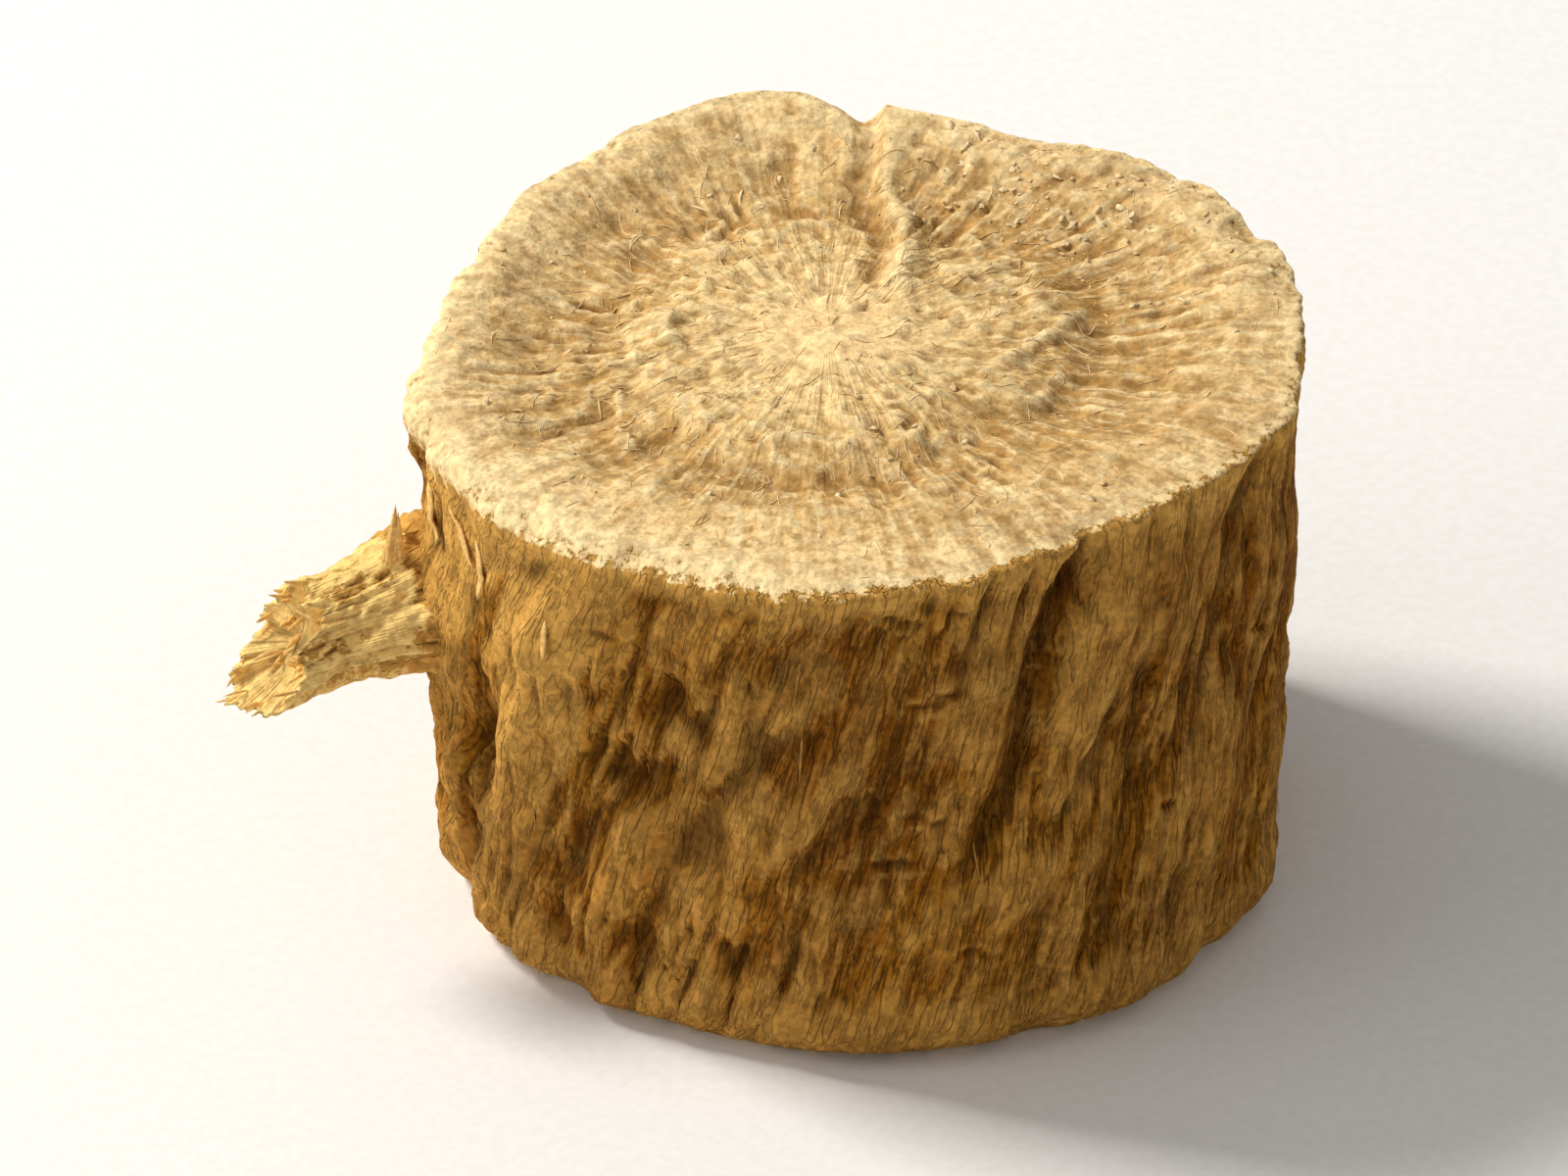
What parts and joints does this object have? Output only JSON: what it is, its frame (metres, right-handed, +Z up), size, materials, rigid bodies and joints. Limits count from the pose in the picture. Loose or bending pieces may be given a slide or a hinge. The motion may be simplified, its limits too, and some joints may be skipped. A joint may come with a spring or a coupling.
{
  "type": "chopped dried astragalus root",
  "caption": "Short chopped length of dried root: a wrinkled bark drum with a ringed cut face at each end and the torn stub of a side rootlet. It stands on its lower cut.",
  "frame": {"origin": "on the lower cut, where the root's axis leaves it", "axes": "+Z up along the root's axis, from the lower cut to the upper one; -Y towards the viewer of the picture, so that +X is the picture's right and the rootlet stub points towards -X"},
  "size_m": [0.012, 0.0099, 0.0067],
  "materials": {
    "dried_root": "dry matt bark, tan brown and furrowed, with paler straw coloured cut faces"
  },
  "bodies": {
    "root": {"root_piece": "dried_root"}
  },
  "joints": []
}
